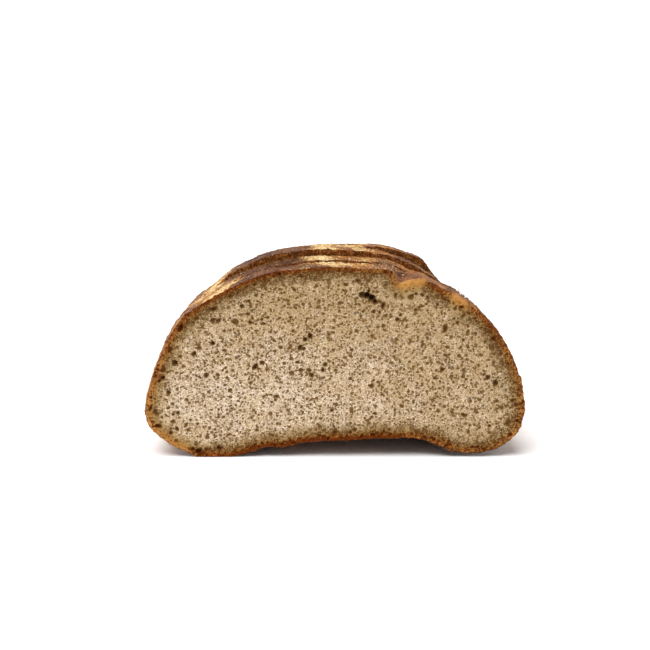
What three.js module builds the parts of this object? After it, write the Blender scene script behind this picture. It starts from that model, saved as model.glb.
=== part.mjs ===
// A hearth-baked rye loaf, cut in half and machine sliced, whose slices still
// stand together. Each slice, and the rounded heel, is one closed solid.
// Millimetres, +Z up. X runs across the loaf and Y along it: the open cut face
// looks towards -Y and the heel towards +Y. The loaf stands on Z = 0.

import * as THREE from 'three';

// ---- driving dimensions, mm -------------------------------------------------

const SLICE_COUNT = 8;
const SLICE_THICKNESS = 10.4;
const SAW_GAP = 0.6; // what the saw blade leaves between two slices
const HEEL_LENGTH = 24;
const FRONT_Y = -56; // the open cut face, so that the loaf is centred on Y = 0
const AXIS_X = 0.325; // the outline's own middle, so that the loaf is centred on X = 0
const DRIFT = -0.04; // sideways wander of the loaf's axis, mm per mm of length

// How long the loaf keeps its width, its crown and its flat base before it closes.
const WIDTH_FULLNESS = 3;
const CROWN_FULLNESS = 3;
const BASE_FULLNESS = 16;
const NOSE_HEIGHT = 22; // height of the middle of the heel's nose
const NOSE_CUT = 0.992; // the heel's last ring, as a share of the closing length
const HEEL_RINGS = 12;

const SPLINE_STEPS = 3; // straight steps between two outline points
const FOOT_FADE = 26; // a lifted foot is level with the rest at this height

// Cross-section, anticlockwise as seen from the front, as [x, z]. Every slice
// stands on two flat feet with an arched base between them.
const LEFT_FOOT = [[-59, 0], [-46, 0]];
const ARCH = [[-37.5, 1.8], [-31, 4.2], [-22, 4.9], [-11, 6.9], [4, 7.6], [20, 7.9], [35, 7.0], [44, 4.2]];
const RIGHT_FOOT = [[52, 0], [64, 0]];
const RIGHT_SIDE = [
  [72, 3], [78.6, 9.4], [81.2, 16.5], [81.4, 24.5], [79.4, 34], [75.4, 45], [69.6, 55], [61, 65],
];
const LEFT_SIDE = [
  [-56, 68.4], [-65.1, 62], [-71.6, 52], [-77, 39.6], [-80.8, 27.6], [-81.8, 19.6], [-79, 12.4], [-71, 5.6],
];

// The crown from right to left. The baker's score tore open along the right of
// it: on the cut face it is a notch with a lifted ear, and further in a ridge.
const NOTCHED_CROWN = [
  [51.5, 72.4], [45, 75.2], [40.5, 77.4], [36.6, 79.5], [31, 78.6], [27, 77.4], [25, 80.4],
  [21.5, 83.1], [10, 83.5], [-4, 84], [-16, 83], [-30, 80.8], [-44, 75.2],
];
const CLOSED_CROWN = [
  [51.5, 70.8], [46, 73.6], [41, 76.2], [37, 77.8], [32.4, 79.6], [29, 81.2], [25.4, 82.7],
  [20.2, 83.8], [10, 84.4], [-4, 84.9], [-16, 84], [-30, 81.2], [-44, 76],
];
const SWOLLEN_CROWN = [
  [51, 70.4], [47, 74], [42.6, 76.6], [38.4, 79.2], [33.8, 81.6], [29.4, 83.4], [24.6, 85],
  [19.4, 86.2], [8, 87.2], [-4, 87.8], [-16, 86.9], [-31, 84], [-46, 76.8],
];
const RIDGED_CROWN = [
  [52, 69.6], [48, 73.6], [44.8, 77.8], [41.6, 81.6], [37, 83.2], [32, 84.8], [26.6, 86.4],
  [20.6, 87.2], [9, 87.1], [-4, 87], [-16, 86], [-31, 82.8], [-46, 76.4],
];

// What sets one slice off from the next: its crown, how wide it baked, how far it
// has slid sideways, and how far its right foot is off the table.
const SLICES = [
  { crown: NOTCHED_CROWN, spread: 1.0, slide: 0.0, rightFootLift: 2.2 },
  { crown: CLOSED_CROWN, spread: 0.978, slide: 0.0, rightFootLift: 0.0 },
  { crown: SWOLLEN_CROWN, spread: 0.97, slide: 0.0, rightFootLift: 0.0 },
  { crown: RIDGED_CROWN, spread: 0.966, slide: 0.0, rightFootLift: 0.0 },
  { crown: RIDGED_CROWN, spread: 0.964, slide: 0.3, rightFootLift: 0.0 },
  { crown: RIDGED_CROWN, spread: 0.975, slide: -0.4, rightFootLift: 0.0 },
  { crown: RIDGED_CROWN, spread: 0.966, slide: 0.5, rightFootLift: 0.0 },
  { crown: RIDGED_CROWN, spread: 0.977, slide: 0.0, rightFootLift: 0.0 },
];
const HEEL = { crown: RIDGED_CROWN, spread: 0.967, slide: -0.3, rightFootLift: 0.0 };

const PITCH = SLICE_THICKNESS + SAW_GAP;
const HEEL_START = FRONT_Y + SLICE_COUNT * PITCH;
const CLOSING_LENGTH = (SLICE_COUNT * PITCH + HEEL_LENGTH) / NOSE_CUT;

// ---- the loaf's outline and how it changes along the length ----------------

// A smooth curve through the given points, as straight steps. It never dips
// under the table.
function smoothRun(points, isBase) {
  const curve = new THREE.SplineCurve(points.map(([x, z]) => new THREE.Vector2(x, z)));
  const steps = curve.getPoints((points.length - 1) * SPLINE_STEPS);
  return steps.map((p) => ({ x: p.x, z: Math.max(p.y, 0), isBase }));
}

// One closed outline: the arched base with a flat foot at each end of it, then
// the crust over the top.
function makeOutline(crown) {
  const base = smoothRun([LEFT_FOOT[1], ...ARCH, RIGHT_FOOT[0]], true);
  const crust = smoothRun([RIGHT_FOOT[1], ...RIGHT_SIDE, ...crown, ...LEFT_SIDE, LEFT_FOOT[0]], false);
  return [...base, ...crust];
}

// 1 at the cut face, falling to 0 at the loaf's closed end.
function closing(y, fullness) {
  const along = Math.max(y - FRONT_Y, 0) / CLOSING_LENGTH;
  return Math.sqrt(1 - along ** fullness);
}

// The cross-section at a distance along the loaf, with one slice's own offsets.
function crossSection(y, slice) {
  const width = closing(y, WIDTH_FULLNESS) * slice.spread;
  const crownRise = closing(y, CROWN_FULLNESS);
  const baseDrop = closing(y, BASE_FULLNESS);
  const axisX = AXIS_X + DRIFT * (y - FRONT_Y) + slice.slide;
  return makeOutline(slice.crown).map(({ x, z, isBase }) => {
    const arched = isBase ? z * crownRise : z;
    const aboveNose = arched - NOSE_HEIGHT;
    const height = aboveNose > 0 ? aboveNose * crownRise : aboveNose * baseDrop;
    const towardsFoot = THREE.MathUtils.smoothstep(x, 0, RIGHT_FOOT[0][0]);
    const nearBase = 1 - THREE.MathUtils.smoothstep(z, 0, FOOT_FADE);
    const lift = slice.rightFootLift * towardsFoot * nearBase;
    return new THREE.Vector3(axisX + x * width, y, NOSE_HEIGHT + height + lift);
  });
}

// ---- solids ------------------------------------------------------------------

function capTriangles(ring) {
  const flat = ring.map((p) => new THREE.Vector2(p.x, p.z));
  return THREE.ShapeUtils.triangulateShape(flat, []);
}

// A closed solid through rings of equal length, with a flat cap at each end.
function loft(rings) {
  const count = rings[0].length;
  const faces = [];
  for (let ring = 0; ring + 1 < rings.length; ring += 1) {
    for (let i = 0; i < count; i += 1) {
      const near = ring * count + i;
      const nearNext = ring * count + ((i + 1) % count);
      faces.push([near, near + count, nearNext]);
      faces.push([near + count, nearNext + count, nearNext]);
    }
  }
  const last = (rings.length - 1) * count;
  capTriangles(rings[0]).forEach(([a, b, c]) => faces.push([a, b, c]));
  capTriangles(rings.at(-1)).forEach(([a, b, c]) => faces.push([last + a, last + c, last + b]));

  const positions = rings.flat().flatMap((p) => [p.x, p.y, p.z]);
  const geometry = new THREE.BufferGeometry();
  geometry.setAttribute('position', new THREE.Float32BufferAttribute(positions, 3));
  geometry.setIndex(faces.flat());
  geometry.computeVertexNormals();
  return geometry;
}

// ---- materials ---------------------------------------------------------------

function crumbMaterial() {
  return new THREE.MeshStandardMaterial({ color: '#b59c7d', roughness: 0.9, metalness: 0 });
}

function crustMaterial() {
  return new THREE.MeshStandardMaterial({ color: '#946b4f', roughness: 0.75, metalness: 0 });
}

// ---- pieces ------------------------------------------------------------------

function makeSlice(index) {
  const near = FRONT_Y + index * PITCH;
  const slice = SLICES[index];
  const rings = [near, near + SLICE_THICKNESS].map((y) => crossSection(y, slice));
  const mesh = new THREE.Mesh(loft(rings), crumbMaterial());
  mesh.name = `slice_${index + 1}`;
  return mesh;
}

// The heel's rings crowd towards its nose, where the surface turns in fastest.
function makeHeel() {
  const rings = [];
  for (let i = 0; i <= HEEL_RINGS; i += 1) {
    const along = Math.sin((i / HEEL_RINGS) * (Math.PI / 2));
    rings.push(crossSection(HEEL_START + along * HEEL_LENGTH, HEEL));
  }
  const mesh = new THREE.Mesh(loft(rings), crustMaterial());
  mesh.name = 'heel';
  return mesh;
}

const loaf = new THREE.Group();
for (let index = 0; index < SLICE_COUNT; index += 1) {
  loaf.add(makeSlice(index));
}
loaf.add(makeHeel());

export default loaf;
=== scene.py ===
import math
import random

import bmesh
import bpy
import numpy as np
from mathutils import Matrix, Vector, geometry, kdtree, noise


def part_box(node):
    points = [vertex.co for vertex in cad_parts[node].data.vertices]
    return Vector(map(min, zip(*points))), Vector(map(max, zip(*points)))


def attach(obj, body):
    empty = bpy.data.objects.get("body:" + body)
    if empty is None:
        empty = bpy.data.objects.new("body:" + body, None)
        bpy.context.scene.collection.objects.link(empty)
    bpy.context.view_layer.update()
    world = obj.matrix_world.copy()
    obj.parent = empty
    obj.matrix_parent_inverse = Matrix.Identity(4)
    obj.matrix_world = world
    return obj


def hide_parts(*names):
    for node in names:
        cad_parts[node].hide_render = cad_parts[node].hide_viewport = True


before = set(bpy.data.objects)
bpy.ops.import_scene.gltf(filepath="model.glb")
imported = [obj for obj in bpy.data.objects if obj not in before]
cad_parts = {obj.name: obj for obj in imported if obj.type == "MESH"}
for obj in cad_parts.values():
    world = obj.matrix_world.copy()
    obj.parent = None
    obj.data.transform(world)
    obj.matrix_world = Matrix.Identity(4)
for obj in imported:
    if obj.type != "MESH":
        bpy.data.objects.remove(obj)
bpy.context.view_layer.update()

# ---- camera -----------------------------------------------------------------
# It stands straight in front of the open cut face, a little above the loaf, and
# looks down on it, so that the crusts of the slices behind show over the first.

CUT_FACE_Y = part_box("slice_1")[0].y
CAMERA_DISTANCE = 0.620  # in metres, like the camera's other lengths
CAMERA_SIDE = -0.0041
CAMERA_HEIGHT = 0.2136
CAMERA_DIP = math.radians(14.0)

camera = bpy.data.objects.new("camera", bpy.data.cameras.new("camera"))
camera.location = (CAMERA_SIDE, CUT_FACE_Y - CAMERA_DISTANCE, CAMERA_HEIGHT)
camera.rotation_euler = (math.pi / 2 - CAMERA_DIP, 0, 0)
camera.data.sensor_width = 36
camera.data.lens = 83.4
bpy.context.scene.collection.objects.link(camera)
bpy.context.scene.camera = camera

# ---- slices behind the cut face ---------------------------------------------
# Seven slices of the same loaf, each sawn through crust and crumb: a ring of
# wrinkled, floury crust round a cut face of dense, fine-pored rye crumb. They
# lean on each other, and the crust of each shows where it stands proud.

MM = 0.001  # lengths are worked out in mm from here on, and meshes made in metres
CUT_LEVEL = CUT_FACE_Y / MM  # where the open cut face lies along Y
SPOKES = 840  # points round every outline
SPOKE_HEIGHT = 24.0  # the spokes spread from the loaf's middle at this height, mm
BAND_STEP = 0.65  # between rows of points across a slice's crust, mm
HIDDEN_FACE_STEP = 1.3  # between points of a cut face that mostly doesn't show, mm
RIND = 10.0  # the browning fades into the crumb over this depth, mm
CRUMB_STANDS_BACK = 0.12  # crumb sinks this far behind the sawn crust, mm
CRUMB_SAGS = 0.55  # and sags this far out of a slice's back, against the next slice, mm
EDGE_WEAR = 0.12  # the saw takes this much off the edge of the crust, mm
MAP_MARGIN = 0.01  # kept clear at the sides of a bake map


def refine(points, steps):
    """A smooth open curve through points, or through whole rings of points."""
    before = np.concatenate([2 * points[:1] - points[1:2], points[:-2]])
    after = np.concatenate([points[2:], 2 * points[-1:] - points[-2:-1]])
    start, end = points[:-1], points[1:]
    rows = []
    for step in range(steps):
        t = step / steps
        bend = before - 2.5 * start + 2 * end - 0.5 * after
        twist = 1.5 * (start - end) + 0.5 * (after - before)
        rows.append(start + 0.5 * t * (end - before) + t**2 * bend + t**3 * twist)
    woven = np.stack(rows, axis=1).reshape((-1,) + points.shape[1:])
    return np.concatenate([woven, points[-1:]])


def outline_loop(node, level):
    """The outline of a solid at one of its levels along Y, in mm, anticlockwise."""
    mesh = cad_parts[node].data
    corners = [tuple(round(c / MM, 3) for c in v.co) for v in mesh.vertices]
    beside = {}
    for polygon in mesh.polygons:
        on_level = [corners[i] for i in polygon.vertices if abs(corners[i][1] - level) < 0.002]
        if len(on_level) == 2:
            a, b = on_level
            beside.setdefault(a, set()).add(b)
            beside.setdefault(b, set()).add(a)
    low = min(beside, key=lambda p: abs(p[0]) + p[2])
    loop = [low, max(beside[low])]
    while loop[-1] != low:
        loop.append(next(p for p in beside[loop[-1]] if p != loop[-2]))
    return np.array(loop)[:, [0, 2]]


def smooth_loop(node, level):
    """The same outline as a finely stepped curve, and nowhere under the table."""
    loop = outline_loop(node, level)
    steps, lap = 8, 3
    around = np.concatenate([loop[-lap - 1 : -1], loop, loop[1 : lap + 1]])
    fine = refine(around, steps)[steps * lap : -steps * lap]
    fine[:, 1] = np.maximum(fine[:, 1], 0)
    return fine


def spoke_angle(points):
    """The direction of each point from the outline's middle; 0 is straight down."""
    middle = (points[:, 0].min() + points[:, 0].max()) / 2
    return np.arctan2(points[:, 0] - middle, SPOKE_HEIGHT - points[:, 1])


def spread_spokes():
    """Directions that step evenly along the cut face's outline."""
    loop = smooth_loop("slice_1", CUT_LEVEL)
    run = np.cumsum(np.linalg.norm(np.diff(loop, axis=0), axis=1))
    even = np.linspace(0, run[-1], SPOKES, endpoint=False)
    return np.interp(even, np.concatenate([[0], run]), np.unwrap(spoke_angle(loop)))


SPOKE_ANGLES = spread_spokes()


def outline(node, level):
    """The outline's points on the loaf's own spokes, in mm."""
    loop = smooth_loop(node, level)
    angles = spoke_angle(loop)
    across, up = (np.interp(SPOKE_ANGLES, angles, loop[:, i], period=2 * math.pi) for i in (0, 1))
    return np.stack([across, up], axis=1)


def slide(values, low, high):
    """0 at low, 1 at high and smooth between, for low above high too."""
    t = np.clip((values - low) / (high - low), 0, 1)
    return t * t * (3 - 2 * t)


def rough(points, size, octaves=3):
    """Noise from about -1 to 1 at each point, with bumps of a size in mm."""
    return np.array([noise.fractal(Vector(p / size), 0.8, 2.1, octaves) for p in points])


def crust_relief(points):
    """How far the crust stands out at each point, in mm: blisters and wrinkles."""
    wrinkles = 0.7 - np.abs(rough(points, 7.0, 2))
    coarse = 0.3 * rough(points, 13.0) + 0.25 * wrinkles
    fine = 0.3 * rough(points, 2.4, 2) + 0.32 * rough(points, 1.2, 1)
    lumps = 0.5 * rough(points, 6.0, 2) * slide(points[:, 0], 50, 70) * slide(points[:, 2], 50, 35)
    off_oven_floor = 0.25 + 0.75 * slide(points[:, 2], -0.5, 3.0)
    return (coarse + fine + lumps) * off_oven_floor


def crust_marks(points):
    """How much flour lies on the crust at each point, and how dark it baked.

    The flour lies in two strips that run the length of the loaf, one over its
    crown and one along its left shoulder, with a barer, darker stretch between.
    """
    height = points[:, 2]
    behind = points[:, 1] - CUT_LEVEL
    drifted = points[:, 0] + 0.04 * behind
    drifted += 5 * rough(points, 24.0, 2) + 3 * rough(points, 5.0, 2)
    rubbed_in_front = 0.6 + 0.4 * slide(behind, 6, 12)
    crown = np.exp(-(((drifted - 1) / 13) ** 2)) * slide(height, 40, 70) * rubbed_in_front
    shoulder = np.exp(-(((drifted + 52) / 11) ** 2)) * slide(height, 40, 60)
    base = slide(height, 12, 2)
    bare = slide(drifted, -46, -36) * slide(drifted, -8, -16) * slide(height, 40, 60)
    patches = np.clip(0.75 + 1.2 * rough(points, 11.0), 0.15, 1.3)
    strips = (1.1 * crown + 0.75 * shoulder) * (1 - 0.45 * slide(behind, 30, 60))
    dust = (strips + 0.2) * patches * (1 - 0.7 * base) * (1 - 0.6 * bare)
    left_side = slide(drifted, -50, -72) * slide(height, 72, 50)
    right_side = slide(drifted, 68, 80) * slide(height, 50, 30)
    sides = np.maximum(left_side, right_side)
    tone = 0.6 + 0.45 * rough(points, 14.0, 2) + 0.25 * base - 0.45 * sides + 0.3 * bare
    return np.clip(dust, 0, 1), np.clip(tone, 0, 1)


def band_faces(rows, low, high):
    """Quads between rows of SPOKES points, and their corners in the bake map.

    The band is laid out as strips, one above the other, between two heights.
    """
    strips = 3
    per_strip = SPOKES // strips
    row, spoke = (a.ravel() for a in np.meshgrid(range(rows - 1), range(SPOKES), indexing="ij"))
    strip = spoke // per_strip
    faces, corners = [], []
    for row_step, spoke_step in ((0, 0), (1, 0), (1, 1), (0, 1)):
        faces.append((row + row_step) * SPOKES + (spoke + spoke_step) % SPOKES)
        along_strip = (spoke - strip * per_strip + spoke_step) / per_strip
        up_strip = 0.03 + 0.94 * (row + row_step) / (rows - 1)
        across = MAP_MARGIN + (1 - 2 * MAP_MARGIN) * along_strip
        up = low + (high - low) * (strip + up_strip) / strips
        corners.append(np.stack([across, up], axis=1))
    return np.stack(faces, axis=1).tolist(), np.stack(corners, axis=1).reshape(-1, 2)


def fill_outline(ring, step):
    """Points spread over the inside of an outline, and triangles over all of it.

    The triangles count the outline's points first and then the inner ones.
    """
    low, high = ring.min(axis=0), ring.max(axis=0)
    across, up = np.meshgrid(np.arange(low[0], high[0], step), np.arange(low[1], high[1], step))
    inner = np.stack([across.ravel(), up.ravel()], axis=1)
    inner += np.random.default_rng(3).uniform(-0.3 * step, 0.3 * step, inner.shape)
    middle = np.array([(low[0] + high[0]) / 2, SPOKE_HEIGHT])
    reach = np.linalg.norm(ring - middle, axis=1)
    angles = np.arctan2(inner[:, 0] - middle[0], middle[1] - inner[:, 1])
    limit = np.interp(angles, SPOKE_ANGLES, reach, period=2 * math.pi)
    inner = inner[np.linalg.norm(inner - middle, axis=1) < limit - 0.7 * step]
    corners = [Vector(p) for p in np.concatenate([ring, inner])]
    edges = [(i, (i + 1) % SPOKES) for i in range(SPOKES)]
    found, _, triangles, origins = geometry.delaunay_2d_cdt(corners, edges, [], 1, 1e-4)[:4]
    same = []
    for place, origin in zip(found, origins):
        away = np.linalg.norm(ring - np.array(place), axis=1)
        same.append(origin[0] if origin else int(away.argmin()))
    kept = [[same[i] for i in triangle] for triangle in triangles]
    return inner, [triangle for triangle in kept if len(set(triangle)) == 3]


def rind_depth(ring, inner):
    """Each inner point's depth under the crust, in mm, and its nearest outline point."""
    tree = kdtree.KDTree(SPOKES)
    for i, (x, z) in enumerate(ring):
        tree.insert((x, 0, z), i)
    tree.balance()
    nearest = [tree.find((x, 0, z)) for x, z in inner]
    return np.array([n[2] for n in nearest]), np.array([n[1] for n in nearest])


def place_face(triangles, ring_start, inner_start):
    """A filled outline's triangles, counted among all the points of its piece."""
    numbers = np.array(triangles)
    return np.where(numbers < SPOKES, numbers + ring_start, numbers + inner_start - SPOKES)


def lay_face(points, numbers, corner, scale):
    """A sawn face's corners in the bake map, laid flat from its lower left corner."""
    flat = points[numbers.ravel()][:, [0, 2]]
    return corner + (flat - flat.min(axis=0)) * scale


def make_piece(name, points, marks, runs):
    """A mesh object from points in mm and from marks on them by name.

    Each run holds faces, their corners in the bake map and their material.
    """
    mesh = bpy.data.meshes.new(name)
    mesh.from_pydata((points * MM).tolist(), [], [face for run in runs for face in run[0]])
    for mark, values in marks.items():
        attribute = mesh.attributes.new(mark, "FLOAT", "POINT")
        attribute.data.foreach_set("value", values.astype(np.float32))
    layer = mesh.uv_layers.new(name="OFBake")
    corners = np.concatenate([run[1] for run in runs])
    layer.data.foreach_set("uv", corners.astype(np.float32).ravel())
    slots = []
    for faces, _, material in runs:
        if material.name not in mesh.materials:
            mesh.materials.append(material)
        slots += [mesh.materials.find(material.name)] * len(faces)
    mesh.polygons.foreach_set("material_index", slots)
    mesh.shade_smooth()
    piece = bpy.data.objects.new(name, mesh)
    bpy.context.scene.collection.objects.link(piece)
    return piece


class Signal:
    """A shader value. Sums and products of it add their Math nodes."""

    def __init__(self, finish, socket):
        self.finish = finish
        self.socket = socket

    def math(self, operation, first, second):
        return self.finish.node("Math", {"operation": operation}, {0: first, 1: second})

    def __add__(self, other):
        return self.math("ADD", self, other)

    def __radd__(self, other):
        return self.math("ADD", other, self)

    def __sub__(self, other):
        return self.math("SUBTRACT", self, other)

    def __rsub__(self, other):
        return self.math("SUBTRACT", other, self)

    def __mul__(self, other):
        return self.math("MULTIPLY", self, other)

    def __rmul__(self, other):
        return self.math("MULTIPLY", other, self)

    def larger(self, other):
        return self.math("MAXIMUM", self, other)

    def over(self, low, high):
        """0 at low, 1 at high and smooth between, for low above high too."""
        settings = {"interpolation_type": "SMOOTHSTEP"}
        return self.finish.node("MapRange", settings, {0: self, 1: low, 2: high})


class Finish:
    """A material in the making. Its textures lie in the loaf's own millimetres."""

    def __init__(self, name, roughness, shine):
        self.material = bpy.data.materials.new(name)
        self.material.use_nodes = True
        self.shader = self.material.node_tree.nodes["Principled BSDF"]
        self.shader.inputs["Roughness"].default_value = roughness
        self.shader.inputs["Specular IOR Level"].default_value = shine
        place = self.node("TexCoord", {}, {}, "Object")
        self.place = self.node("VectorMath", {"operation": "SCALE"}, {0: place, "Scale": 1 / MM})

    def node(self, kind, settings, sockets, output=0):
        """A node of one kind, its settings made first and then its sockets."""
        node = self.material.node_tree.nodes.new("ShaderNode" + kind)
        for key, value in settings.items():
            if key == "stops":
                elements = node.color_ramp.elements
                while len(elements) < len(value):
                    elements.new(1.0)
                for element, (position, colour) in zip(elements, value):
                    element.position = position
                    element.color = colour
            else:
                setattr(node, key, value)
        for key, value in sockets.items():
            if isinstance(value, Signal):
                self.link(value, node.inputs[key])
            else:
                node.inputs[key].default_value = value
        return Signal(self, node.outputs[output])

    def link(self, value, socket):
        self.material.node_tree.links.new(value.socket, socket)

    def mark(self, name):
        return self.node("Attribute", {"attribute_name": name}, {}, "Fac")

    def mix(self, factor, first, second):
        return self.node("Mix", {"data_type": "RGBA"}, {0: factor, 6: first, 7: second}, 2)

    def cloud(self, size, detail, roughness, output=0):
        sockets = {"Vector": self.place, "Scale": 1 / size, "Detail": detail, "Roughness": roughness}
        return self.node("TexNoise", {}, sockets, output)

    def cells(self, size, place, feature="F1", output="Distance"):
        sockets = {"Vector": place, "Scale": 1 / size, "Randomness": 1.0}
        return self.node("TexVoronoi", {"feature": feature}, sockets, output)

    def ramp(self, value, *stops):
        return self.node("ValToRGB", {"stops": stops}, {0: value})

    def feed(self, socket, value):
        self.link(value, self.shader.inputs[socket])

    def bump(self, height, depth):
        sockets = {"Strength": 1.0, "Distance": depth * MM, "Height": height}
        self.feed("Normal", self.node("Bump", {}, sockets))


def tint(code):
    """A linear colour from a paint code such as b59c7d."""
    parts = [int(code[i : i + 2], 16) / 255 for i in (0, 2, 4)]
    return tuple(((c + 0.055) / 1.055) ** 2.4 if c > 0.04 else c / 12.92 for c in parts) + (1.0,)


def crust_finish():
    """Dried, browned dough with a crackled skin, under rye flour."""
    finish = Finish("crust", 0.85, 0.08)
    dust, tone = finish.mark("dust"), finish.mark("tone")
    blotch = finish.cloud(3.4, 3.0, 0.6)
    grit = finish.cloud(1.5, 1.0, 0.5)
    grain = finish.cloud(0.7, 1.0, 0.5)
    shade = 0.5 + 0.9 * (blotch - 0.5) + 0.75 * (tone - 0.5)
    shade = shade + 0.9 * (grit - 0.5) + 0.7 * (grain - 0.5) - 0.25 * dust
    skin = finish.ramp(
        shade,
        (0.1, tint("b97a3c")),
        (0.32, tint("925c33")),
        (0.48, tint("82563c")),
        (0.66, tint("684534")),
        (0.95, tint("43220f")),
    )
    crack = finish.cells(2.7, finish.place, "DISTANCE_TO_EDGE").over(0.07, 0.0)
    crack = crack * blotch.over(0.48, 0.6)
    skin = finish.mix(0.6 * crack, skin, tint("2a1308"))
    speck = (0.5 + 1.3 * (grain - 0.5) + 0.3 * (grit - 0.5)).over(0.60, 0.72)
    skin = finish.mix(0.4 * speck, skin, tint("b98a5c"))
    cover = (1.1 * dust + 1.3 * (grit - 0.5) + 1.7 * (grain - 0.5)).over(0.28, 0.86)
    flour = finish.ramp(
        0.5 + 1.8 * (grain - 0.5) + 1.0 * (grit - 0.5) + 0.6 * (dust - 0.45),
        (0.3, tint("8a5420")),
        (0.46, tint("a56f31")),
        (0.64, tint("c8944f")),
        (0.95, tint("f4deaa")),
    )
    finish.feed("Base Color", finish.mix(0.85 * cover, skin, flour))
    finish.feed("Roughness", 0.6 + 0.35 * cover)
    finish.bump(0.5 * blotch + 0.9 * grit + 0.6 * grain - 0.4 * crack, 1.0)
    return finish.material


def small_pores(finish, stirred):
    """Pores of two sizes that are too small for the mesh, 1 inside them."""
    holes = []
    for size, share, radius in ((1.15, 0.3, 0.46), (1.9, 0.45, 0.38)):
        away = finish.cells(size, stirred)
        pick = finish.node("SeparateColor", {}, {0: finish.cells(size, stirred, output="Color")})
        holes.append(away.over(radius, 0.55 * radius) * pick.over(share, share + 0.4))
    return (0.75 * holes[0]).larger(holes[1])


def rind_colour(finish, depth, tone, light):
    """The sawn crust from its edge inwards, dark where tone is 1, pale where 0, with painted
    highlights and painted shade on its grain.
    """
    dark_rind = finish.ramp(
        depth,
        (0.0, tint("6a2904")),
        (0.05, tint("8e4008")),
        (0.1, tint("8b4f15")),
        (0.17, tint("896332")),
        (0.28, tint("96774a")),
        (0.6, tint("a88b5f")),
    )
    pale_rind = finish.ramp(
        depth,
        (0.0, tint("c98f56")),
        (0.04, tint("d29a55")),
        (0.08, tint("c48a42")),
        (0.13, tint("bb8c50")),
        (0.19, tint("ae8850")),
        (0.28, tint("aa8a58")),
        (0.6, tint("b19465")),
    )
    browned = finish.mix(tone, pale_rind, dark_rind)
    # Golden flecks on the rind's lightest grain are painted highlights.
    browned = finish.mix(0.6 * light.over(0.53, 0.8), browned, tint("e2ae6c"))
    # Near-black flecks on its darkest grain are painted shade in the rind's small pits.
    painted_pit_shade = 0.8 * light.over(0.5, 0.25) * tone.over(0.0, 0.4)
    return finish.mix(painted_pit_shade, browned, tint("3c1a04"))


def crumb_finish():
    """A sawn face: browned under the crust, then moist, pitted rye crumb."""
    finish = Finish("crumb", 0.9, 0.08)
    rind, tone, pit = finish.mark("rind"), finish.mark("tone"), finish.mark("pit")
    # The pale mark is partly paler crumb and partly painted light.
    pale = finish.mark("pale")
    stir = {0: finish.cloud(1.3, 2.0, 0.5, "Color"), 1: (0.4, 0.4, 0.4), 2: finish.place}
    stirred = finish.node("VectorMath", {"operation": "MULTIPLY_ADD"}, stir)
    grain = finish.cloud(0.6, 2.0, 0.6)
    clump = finish.cloud(1.6, 1.0, 0.5)
    mottle = finish.cloud(4.5, 2.0, 0.55)
    cast = finish.cloud(12.0, 2.0, 0.5)

    reach_crust = rind.over(0.4, 2.4).larger(0.5 + tone.over(0.12, 0.4))
    pore = small_pores(finish, stirred) * reach_crust
    wall = finish.cells(1.1, stirred, "DISTANCE_TO_EDGE").over(0.16, 0.02)

    light = 0.482 + 1.2 * (grain - 0.5) + 0.38 * (clump - 0.5)
    light = light + 0.3 * (mottle - 0.5) + 0.2 * (pale - 0.82)
    crumb = finish.ramp(
        light,
        (0.20, tint("8e714a")),
        (0.36, tint("ad906b")),
        (0.47, tint("c5a784")),
        (0.57, tint("dfc4a2")),
        (0.69, tint("f5e3c8")),
        (0.85, tint("fff6e4")),
    )
    # Olive-yellow in broad patches and where the pale mark is low; what follows the pale mark is
    # partly painted shade.
    yellow = (0.42 * (1 - pale) + 0.22 * cast.over(0.6, 0.4)) * light.over(0.9, 0.4)
    crumb = finish.mix(yellow, crumb, tint("b5935a"))
    pinkish = 0.4 * cast.over(0.45, 0.65) * pale * light.over(0.4, 0.8)
    crumb = finish.mix(pinkish, crumb, tint("f0e0da"))
    crumb = finish.mix(0.6 * wall * (1 - pore) * light, crumb, tint("fdf2de"))

    depth = rind * (1 / RIND) + 0.3 * (mottle - 0.5) * rind.over(0.0, 4.0)
    depth = depth + 0.16 * (clump - 0.5) + 0.1 * (grain - 0.5)
    browned = rind_colour(finish, depth, tone, light)
    colour = finish.mix(depth.over(0.2, 0.85), browned, crumb)

    # Pores and holes are painted dark, from brown to near black in the deepest torn holes: painted
    # shade inside them.
    hollow = finish.mix(depth.over(0.08, 0.5), tint("672f08"), tint("7c5a2c"))
    colour = finish.mix(0.8 * pore, colour, hollow)
    colour = finish.mix(0.9 * pit.over(0.05, 0.35), colour, hollow)
    colour = finish.mix(0.6 * pit.over(0.5, 0.8), colour, tint("4a2408"))
    colour = finish.mix(0.85 * pit.over(0.85, 1.0), colour, tint("140a06"))

    bran_pick = finish.node("SeparateColor", {}, {0: finish.cells(5.0, stirred, output="Color")})
    bran = finish.cells(5.0, stirred).over(0.17, 0.09) * bran_pick.over(0.6, 0.65)
    colour = finish.mix(0.75 * bran * depth.over(0.4, 0.8), colour, tint("736a60"))
    finish.feed("Base Color", colour)
    finish.bump(0.5 * grain - 0.9 * pore + 0.3 * wall, 0.45)
    return finish.material


CRUST = crust_finish()
CRUMB = crumb_finish()


def crust_depth(depth, thickness):
    """Depth under the crust where that is so many times as thick as usual."""
    return depth / (1 + (thickness - 1) * np.exp(-depth / 3.5))


def thick_over_crown(inner, _edge):
    """The crust is thick where the slices behind stand proud of the first."""
    return 1.2 + 3.2 * slide(inner[:, 1], 45, 66)


def dark_over_crown(ring):
    """The slices behind are darkest over the crown and palest at their sides: partly a darker crust,
    partly painted shade on the sawn edges that stand in the steps between slices.
    """
    return 0.45 + 0.2 * slide(np.abs(np.degrees(spoke_angle(ring))), 95, 130)


def crumb_paleness_and_painted_light(inner):
    """The crumb is palest low on the left of the middle, partly where it baked least and partly as
    painted light.
    """
    return 0.1 + 0.9 * np.exp(-(((inner[:, 0] + 40) / 100) ** 2) - ((inner[:, 1] - 26) / 32) ** 2)


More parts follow.
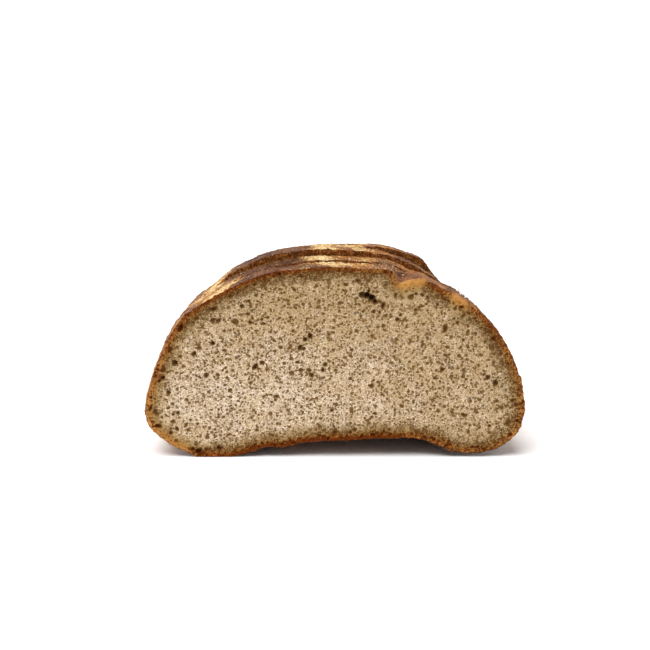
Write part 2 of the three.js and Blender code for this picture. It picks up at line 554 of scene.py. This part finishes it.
def crust_band(front, back, front_y, back_y):
    """Rings of points over a slice's crust, closest together at its sawn edges."""
    rows = int((back_y - front_y) / BAND_STEP) + 2
    shares = np.concatenate([[0, 0.012], np.linspace(0.06, 0.94, rows - 4), [0.988, 1]])
    rings = []
    for share in shares:
        flat = front + (back - front) * share
        level = np.full(SPOKES, front_y + (back_y - front_y) * share)
        rings.append(np.stack([flat[:, 0], level, flat[:, 1]], axis=1))
    band = np.array(rings)
    along = np.roll(band, -1, axis=1) - np.roll(band, 1, axis=1)
    outward = np.stack([along[:, :, 2], np.zeros(along.shape[:2]), -along[:, :, 0]], axis=2)
    outward /= np.linalg.norm(outward, axis=2, keepdims=True)
    relief = crust_relief(band.reshape(-1, 3)).reshape(len(shares), SPOKES, 1)
    relief[[0, -1]] -= EDGE_WEAR
    band += outward * relief
    band[:, :, 2] = np.maximum(band[:, :, 2], 0)
    return band


# In the bake map the front face lies lowest, the back one over it and the crust on
# top. A face has a lower left corner there and a width, the crust two heights.
FRONT_PATCH = ((MAP_MARGIN, MAP_MARGIN), 0.98)
BACK_PATCH = ((MAP_MARGIN, 0.585), 0.42)
CRUST_PATCH = (0.82, 1.0)


def make_slice(name, face_step, tone_round, thickness, pores=None, mend_back=None):
    """One slice: a band of crust between two sawn faces of crumb.

    The crust's tone and thickness vary round the outline. The front slice has open
    pores too, and a back outline that is mended to meet the next slice.
    """
    low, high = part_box(name)
    front_y, back_y = low.y / MM, high.y / MM
    front, back = outline(name, front_y), outline(name, back_y)
    if mend_back:
        back = mend_back(back)
    band = crust_band(front, back, front_y, back_y)
    points = band.reshape(-1, 3)
    dust, tone = crust_marks(points)
    tone[:SPOKES] = tone_round(band[0][:, [0, 2]])
    zeros = np.zeros(len(points))
    marks = {"dust": dust, "tone": tone, "rind": zeros, "pit": zeros, "pale": zeros}
    faces, corners = band_faces(len(band), *CRUST_PATCH)
    runs = [(faces, corners, CRUST)]
    for is_front in (True, False):
        ring = band[0 if is_front else -1][:, [0, 2]]
        inner, triangles = fill_outline(ring, face_step if is_front else HIDDEN_FACE_STEP)
        depth, nearest = rind_depth(ring, inner)
        sunk = pit = np.zeros(len(inner))
        if is_front and pores:
            sunk, pit = pores(inner, depth)
        if is_front:
            level = front_y + sunk + CRUMB_STANDS_BACK * slide(depth, 0, 1.2)
            numbers = place_face(triangles, 0, len(points))
            corner, width = FRONT_PATCH
        else:
            level = back_y + CRUMB_SAGS * slide(depth, 0.8, 2.6)
            numbers = place_face(triangles, (len(band) - 1) * SPOKES, len(points))[:, ::-1]
            corner, width = BACK_PATCH
        points = np.concatenate([points, np.stack([inner[:, 0], level, inner[:, 1]], axis=1)])
        face_marks = {
            "dust": np.zeros(len(inner)),
            "tone": tone_round(ring)[nearest],
            "rind": crust_depth(depth, thickness(inner, ring[nearest])),
            "pit": pit,
            "pale": crumb_paleness_and_painted_light(inner),
        }
        marks = {mark: np.concatenate([marks[mark], face_marks[mark]]) for mark in marks}
        corners = lay_face(points, numbers, corner, width * MM / (high.x - low.x))
        runs.append((numbers.tolist(), corners, CRUMB))
    return make_piece(name + "_loaf", points, marks, runs)


for number in range(2, 9):  # slice_1 is the front slice, made below
    piece = make_slice(f"slice_{number}", HIDDEN_FACE_STEP, dark_over_crown, thick_over_crown)
    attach(piece, "root")
    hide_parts(f"slice_{number}")

# ---- front slice ------------------------------------------------------------
# The slice whose sawn face is open to view: pores of every size, a few large
# holes torn by the saw, and a crust that is thin and dark over the crown.

FRONT_FACE_STEP = 0.42  # between points of the open cut face, mm
SMALL_PORES = 3000
PORE_RADII = (0.34, 0.95)  # the smallest and the largest of the small pores, mm
# The base pores are painted dark with shade inside them, like all the pores.
BASE_PORES = 90  # dark ones in a row just over the loaf's underside

# Directions round the outline, in degrees from straight down and growing to the
# right, each with how dark the crust's sawn edge is there, from 0 to 1.
EDGE_TONES = (
    (-180, 0.8), (-150, 1), (-125, 0.85), (-95, 0.4), (-80, 0.25), (-72, 0.2), (-66, 0.9),
    (-20, 1), (0, 1), (25, 1), (55, 0.95), (66, 0.7), (80, 0.35), (95, 0.4), (108, 0.6),
    (120, 0.8), (126, 0.35), (130, 0.1), (134, 0.1), (138, 0.85), (141, 0.8), (145, 0.15),
    (152, 0), (156, 0.6), (180, 0.8),
)
# And with how many times as thick as usual the crust is there.
EDGE_WIDTHS = (
    (-180, 1.0), (-140, 1.2), (-115, 2.2), (-80, 2.4), (-40, 1.9), (0, 2.1), (40, 1.9),
    (80, 2.1), (110, 2.4), (119, 2.2), (126, 3.5), (130, 5.5), (134, 5.5), (138, 2.4),
    (143, 2.4), (146, 4.2), (151, 4.6), (154, 2.2), (160, 1.4), (180, 1.0),
)

# Middle across and up, half width and half height in mm, and how dark each is painted, as shade
# inside the hole.
TORN_HOLES = (
    (11.6, 72.2, 1.6, 1.2, 0.9), (13.7, 71.6, 1.9, 1.5, 1.0), (15.6, 70.5, 1.7, 1.5, 1.0),
    (17, 69.1, 1.2, 1.1, 1.0), (14.3, 73.6, 0.6, 1.2, 1.0), (19.1, 69.0, 0.9, 0.8, 0.7),
    (20.4, 67.3, 0.8, 1.5, 0.9),
    (-10.4, 54, 1.0, 1.2, 0.9), (-12.6, 52.5, 0.9, 0.9, 0.9), (-14.8, 49, 1.0, 1.2, 0.8),
    (-13.2, 48.5, 1.0, 0.8, 0.8), (-19, 49, 1.2, 0.7, 0.6), (-25.5, 52, 0.7, 0.6, 0.6),
    (-18.5, 44, 1.1, 0.9, 0.5), (-16, 42.5, 0.9, 0.8, 0.7), (-14.3, 39, 1.2, 1.0, 0.6),
    (-18.5, 37.8, 1.1, 1.1, 0.5), (-34, 40.5, 0.9, 1.7, 0.9), (-31, 42.3, 1.2, 1.0, 0.7),
    (-4, 41.5, 1.0, 1.0, 0.7), (-5, 39, 0.9, 0.8, 0.8), (-21.5, 42, 0.8, 0.7, 0.6),
    (-11, 39, 1.3, 0.9, 0.6), (-9.8, 36.7, 1.1, 1.2, 0.7), (47, 57.3, 1.1, 1.8, 0.75),
    (15.8, 32, 1.0, 0.8, 0.7), (6.7, 35.2, 0.9, 0.8, 0.6), (69, 33.3, 1.2, 1.5, 0.8),
    (65.6, 35.8, 0.9, 1.2, 0.8), (46, 39.3, 0.9, 1.1, 0.7), (55.8, 19, 1.6, 0.7, 0.8),
    (53.7, 66.8, 1.1, 0.6, 0.8), (0.5, 39, 0.8, 0.7, 0.6), (7.3, 48, 0.8, 0.8, 0.6),
    (9.9, 78.2, 1.3, 0.9, 0.7), (32.2, 71.2, 1.4, 1.1, 0.6), (37, 72, 1.0, 0.9, 0.6),
    (42, 25.8, 0.9, 0.7, 0.6), (43, 35.4, 1.1, 0.8, 0.6), (29, 23, 1.0, 0.7, 0.6),
    (14, 16.5, 1.1, 0.7, 0.5), (0, 11.2, 0.8, 0.7, 0.8), (-42, 60.2, 1.4, 1.6, 0.55),
    (-49.3, 60.8, 1.2, 0.9, 0.8), (-51.7, 61, 1.4, 1.2, 0.6), (-51.2, 66, 1.3, 0.9, 0.8),
    (-60, 46.4, 1.0, 1.1, 0.8), (-68.2, 42.3, 1.2, 1.3, 0.8), (-55, 36.7, 1.1, 1.4, 0.7),
    (-7.5, 76, 0.9, 0.7, 0.6), (-7.7, 26.5, 0.8, 0.7, 0.6), (-36, 33.3, 0.8, 0.9, 0.6),
    (-73.6, 35.6, 1.0, 0.9, 0.9), (-73.2, 39, 1.2, 1.2, 0.5), (-75.2, 34.2, 0.7, 0.7, 0.8),
    (-76.8, 20, 1.1, 2.0, 0.55), (-79.3, 22, 0.8, 1.2, 0.6), (-76.2, 14, 1.4, 0.9, 0.8),
    (-68, 12.6, 0.8, 1.1, 0.8), (-64, 14.4, 0.6, 1.5, 0.7), (-67.5, 19.9, 0.8, 0.8, 0.8),
    (-69.5, 19.2, 0.8, 0.7, 0.7), (-44.6, 27, 0.8, 0.7, 0.6), (-51.7, 50.8, 0.9, 0.9, 0.8),
    (-57.7, 48.8, 1.2, 0.7, 0.7), (-71.2, 29, 0.9, 1.0, 0.8), (-69.6, 24, 1.0, 0.9, 0.5),
    (-69.7, 16, 1.1, 0.8, 0.7), (-59, 2.6, 1.6, 1.2, 0.8), (-61.3, 3.6, 0.8, 0.9, 0.8),
    (-50, 4, 1.2, 0.9, 0.8), (75, 15.3, 1.0, 1.6, 0.7), (78, 23.5, 0.8, 1.1, 0.6),
    (76.5, 25.3, 0.9, 0.9, 0.6), (72, 22.5, 1.0, 0.8, 0.6), (67, 14, 0.9, 0.7, 0.7),
    (67.4, 52.8, 1.1, 0.9, 0.7), (67, 48.7, 1.2, 1.1, 0.5), (55, 36.2, 1.0, 0.8, 0.6),
    (53.2, 45.4, 0.8, 0.9, 0.6), (47.3, 45.6, 1.0, 0.7, 0.6), (-14, 80, 0.9, 0.7, 0.8),
    (-65.3, 57.6, 1.0, 1.7, 0.85),
)


def by_direction(table, ring):
    """A table's value at each point of an outline, by its direction."""
    turns, values = zip(*table)
    return np.interp(np.degrees(spoke_angle(ring)), turns, values)


def dark_at_edge(ring):
    """How dark the first slice's crust is, most of all at its base and crown."""
    return by_direction(EDGE_TONES, ring)


def thick_at_sides(_inner, edge):
    """The crust is thin over the first slice's crown and thick down its sides."""
    return by_direction(EDGE_WIDTHS, edge)


def lift_notch(back):
    """The score's torn skin climbs towards the back, up to the second slice."""
    behind = outline("slice_2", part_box("slice_2")[0].y / MM)[:, 1]
    turn = np.degrees(spoke_angle(back))
    in_notch = slide(turn, 139, 143) * slide(turn, 162, 158)
    back[:, 1] += in_notch * np.maximum(behind - back[:, 1], 0)
    return back


def choose_pores(inner, depth, chance):
    """The torn holes, small pores all over the face, and the row at the base."""
    holes = list(TORN_HOLES)
    smallest, largest = PORE_RADII
    for _ in range(SMALL_PORES):
        spot = chance.randrange(len(inner))
        x, z = inner[spot]
        radius = min(smallest * (1 - chance.random()) ** (-1 / 3.2), largest)
        flat = chance.uniform(0.65, 1.0)
        # Each pore is painted dark with shade inside it, more so high on the face.
        dark = chance.uniform(0.15, 0.65)
        dark += 0.15 if z > 58 else 0.0
        crust_is_whole = z > 55 and 24 < x < 62 and depth[spot] < 3.2
        holes.append((x, z, radius, radius * flat, 0.0 if crust_is_whole else dark))
    over_base = (inner[:, 1] < 11) & (np.abs(inner[:, 0]) < 66)
    near_base = np.flatnonzero((depth > 0.7) & (depth < 2.6) & over_base)
    for _ in range(BASE_PORES):
        x, z = inner[near_base[chance.randrange(len(near_base))]]
        radius = chance.uniform(0.35, 0.8)
        holes.append((x, z, radius, 0.8 * radius, chance.uniform(0.5, 0.9)))
    return holes


def open_pores(inner, depth):
    """How far each point of the sawn face sinks into a pore, and how dark it is painted: shade in
    the pores, and darker just inside the crust along the underside.
    """
    tree = kdtree.KDTree(len(inner))
    for i, (x, z) in enumerate(inner):
        tree.insert((x, 0, z), i)
    tree.balance()
    chance = random.Random(11)
    holes = choose_pores(inner, depth, chance)
    sunk = np.zeros(len(inner))
    # The face is painted darker just inside the crust along its underside.
    underside = slide(np.abs(np.degrees(spoke_angle(inner))), 68, 58)
    pit = 0.5 * underside * slide(depth, 2.0, 0.6)
    # Each pore sinks into the face and is painted dark with its shade.
    for x, z, across, up, dark in holes:
        tilt = chance.uniform(-0.6, 0.6)
        ragged = 0.28 if across > 0.8 else 0.12
        for spot, i, _ in tree.find_range((x, 0, z), 1.4 * max(across, up)):
            right, rise = spot[0] - x, spot[2] - z
            along = (right * math.cos(tilt) + rise * math.sin(tilt)) / across
            above = (rise * math.cos(tilt) - right * math.sin(tilt)) / up
            wander = noise.noise(Vector((spot[0] / 1.2, 4.0, spot[2] / 1.2)))
            away = math.hypot(along, above) * (1 + ragged * wander)
            hollow = min(max((1.2 - away) / 0.65, 0), 1)
            sunk[i] = max(sunk[i], hollow * min(across, up) * (0.4 + 1.6 * dark**2))
            pit[i] = max(pit[i], hollow * dark)
    return sunk, pit


front_slice = make_slice(
    "slice_1", FRONT_FACE_STEP, dark_at_edge, thick_at_sides, open_pores, lift_notch
)
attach(front_slice, "root")
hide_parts("slice_1")

# ---- crust flakes -----------------------------------------------------------
# A few dry, glassy crumbs of crust that the saw broke off. They cling in a tuft
# to the right shoulder of the first slice.

# Place across, distance behind the cut face, radius and height over the crust, mm.
CRUST_FLAKES = (
    (51.6, 0.7, 0.5, 1.5), (52.4, 0.9, 0.45, 2.3), (53.3, 0.6, 0.55, 1.3),
    (54.4, 1.0, 0.45, 1.5), (55.2, 0.8, 0.5, 0.9), (53.1, 1.4, 0.4, 1.3),
)


def flake_finish():
    finish = Finish("flake", 0.45, 0.5)
    grain = finish.cloud(0.5, 2.0, 0.6)
    finish.feed("Base Color", finish.ramp(grain, (0.3, tint("c9ab9c")), (0.6, tint("efe2dc"))))
    finish.bump(grain, 0.2)
    return finish.material


def make_flakes():
    """Squashed, wavy balls along the right shoulder's outline, in one mesh."""
    ring = outline("slice_1", CUT_LEVEL)
    shoulder = ring[(ring[:, 0] > 40) & (ring[:, 1] > 40)]
    shoulder = shoulder[shoulder[:, 0].argsort()]
    ball = bmesh.new()
    for number, (x, back, radius, rise) in enumerate(CRUST_FLAKES):
        z = np.interp(x, shoulder[:, 0], shoulder[:, 1])
        made = bmesh.ops.create_icosphere(ball, subdivisions=3, radius=radius)["verts"]
        for vert in made:
            wobble = 1 + 0.9 * noise.noise(vert.co * 1.6 + Vector((9 * number, 0, 0)))
            squashed = Vector((vert.co.x, vert.co.y, vert.co.z * 0.6)) * wobble
            vert.co = (squashed + Vector((x, CUT_LEVEL + back, z + rise))) * MM
    mesh = bpy.data.meshes.new("crust_flakes")
    ball.to_mesh(mesh)
    ball.free()
    mesh.shade_smooth()
    mesh.materials.append(flake_finish())
    flakes = bpy.data.objects.new("crust_flakes", mesh)
    bpy.context.scene.collection.objects.link(flakes)
    return flakes


flakes = make_flakes()
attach(flakes, "root")

# ---- heel -------------------------------------------------------------------
# The loaf's rounded end, closed all over by its crust: dough that dried and
# browned on the oven floor, wrinkled as it cooled and dusted with rye flour.

HEEL_STEPS = 6  # rings of points for each ring of the solid
NOSE_SHARES = (0.85, 0.68, 0.5, 0.3, 0.12)  # rings that close the nose, by size
NOSE_BULGE = 0.9  # how far they stand out towards its middle, mm
HEEL_FACE_HEIGHT = 0.37  # of the sawn face in the bake map
HEEL_CRUST_PATCH = (0.4, 1.0)  # and the two heights that the crust lies between


def make_heel():
    """Rings from the sawn face to the closed nose, and the face itself."""
    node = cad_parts["heel"]
    levels = sorted({round(v.co.y / MM, 3) for v in node.data.vertices})
    rings = []
    for level in levels:
        flat = outline("heel", level)
        rings.append(np.stack([flat[:, 0], np.full(SPOKES, level), flat[:, 1]], axis=1))
    rings = refine(np.array(rings), HEEL_STEPS)
    nose, middle = rings[-1], rings[-1].mean(axis=0)
    for share in NOSE_SHARES:
        ring = middle + (nose - middle) * share
        ring[:, 1] += NOSE_BULGE * (1 - share**2)
        rings = np.concatenate([rings, ring[None]])
    points = rings.reshape(-1, 3)
    faces, corners = band_faces(len(rings), *HEEL_CRUST_PATCH)
    form = bpy.data.meshes.new("heel_form")
    form.from_pydata(points.tolist(), [], faces)
    normals = np.zeros(len(points) * 3)
    form.vertex_normals.foreach_get("vector", normals)
    bpy.data.meshes.remove(form)
    points = points + normals.reshape(-1, 3) * crust_relief(points)[:, None]
    points[:, 2] = np.maximum(points[:, 2], 0)
    points[:SPOKES, 1] = levels[0]
    dust, tone = crust_marks(points)

    ring = points[:SPOKES][:, [0, 2]]
    inner, triangles = fill_outline(ring, HIDDEN_FACE_STEP)
    depth, nearest = rind_depth(ring, inner)
    numbers = place_face(triangles, 0, len(points))
    level = levels[0] + CRUMB_STANDS_BACK * slide(depth, 0, 1.2)
    everything = np.concatenate([points, np.stack([inner[:, 0], level, inner[:, 1]], axis=1)])
    scale = HEEL_FACE_HEIGHT / ring[:, 1].max()
    face_corners = lay_face(everything, numbers, (MAP_MARGIN, MAP_MARGIN), scale)
    # One flat face closes the last small ring. It bakes as a single spot of crust.
    nose_fan = [list(range(len(points) - 1, len(points) - SPOKES - 1, -1))]
    fan_corners = np.full((SPOKES, 2), 1 - MAP_MARGIN)
    on_crust, on_face = np.zeros(len(points)), np.zeros(len(inner))
    browning = crust_depth(depth, thick_over_crown(inner, ring[nearest]))
    marks = {
        "dust": np.concatenate([dust, on_face]),
        "tone": np.concatenate([tone, dark_over_crown(ring)[nearest]]),
        "rind": np.concatenate([on_crust, browning]),
        "pit": np.concatenate([on_crust, on_face]),
        "pale": np.concatenate([on_crust, crumb_paleness_and_painted_light(inner)]),
    }
    runs = [(faces, corners, CRUST), (nose_fan, fan_corners, CRUST)]
    runs.append((numbers.tolist(), face_corners, CRUMB))
    return make_piece("heel_loaf", everything, marks, runs)


heel = make_heel()
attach(heel, "root")
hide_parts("heel")

# ---- table and light --------------------------------------------------------
# A white table inside a low white wall that is open in front, under an even sky
# and one large soft lamp, high up in front and a little to the left.

TABLE_RADIUS = 12.0
WALL_RADIUS = 3.0
WALL_HEIGHT = 1.2
WALL_SIDES = 72
WALL_ENDS = 30  # how far round each side of the loaf the wall comes forward, degrees


def plain_finish(name, colour, glow):
    material = bpy.data.materials.new(name)
    material.use_nodes = True
    shader = material.node_tree.nodes["Principled BSDF"]
    shader.inputs["Base Color"].default_value = colour
    shader.inputs["Roughness"].default_value = 0.9
    shader.inputs["Emission Color"].default_value = colour
    shader.inputs["Emission Strength"].default_value = glow
    return material


def stage_mesh(name, points, faces, material):
    mesh = bpy.data.meshes.new(name)
    mesh.from_pydata(points, [], faces)
    mesh.materials.append(material)
    thing = bpy.data.objects.new(name, mesh)
    bpy.context.scene.collection.objects.link(thing)


turns = np.radians(np.linspace(-WALL_ENDS, 180 + WALL_ENDS, WALL_SIDES + 1))
foot = [(WALL_RADIUS * math.cos(a), WALL_RADIUS * math.sin(a), 0) for a in turns]
top = [(x, y, WALL_HEIGHT) for x, y, _ in foot]
wall_faces = [(i, i + 1, WALL_SIDES + i + 2, WALL_SIDES + i + 1) for i in range(WALL_SIDES)]
corners = [(x * TABLE_RADIUS, y * TABLE_RADIUS, 0) for x, y in ((-1, -1), (1, -1), (1, 1), (-1, 1))]
stage_mesh("table", corners, [(0, 1, 2, 3)], plain_finish("table", (0.93, 0.93, 0.93, 1), 0.0))
stage_mesh("wall", foot + top, wall_faces, plain_finish("wall", (1, 1, 1, 1), 1.05))

lamp = bpy.data.objects.new("lamp", bpy.data.lights.new("lamp", "SUN"))
lamp.data.energy = 3.5
lamp.data.angle = math.radians(50)
lamp.rotation_euler = Vector((-0.23, -0.265, 0.9)).to_track_quat("Z", "Y").to_euler()
bpy.context.scene.collection.objects.link(lamp)

sky = bpy.data.worlds.new("sky")
sky.use_nodes = True
sky.node_tree.nodes["Background"].inputs["Color"].default_value = (1, 1, 1, 1)
sky.node_tree.nodes["Background"].inputs["Strength"].default_value = 0.3
bpy.context.scene.world = sky
bpy.context.scene.view_settings.view_transform = "Standard"
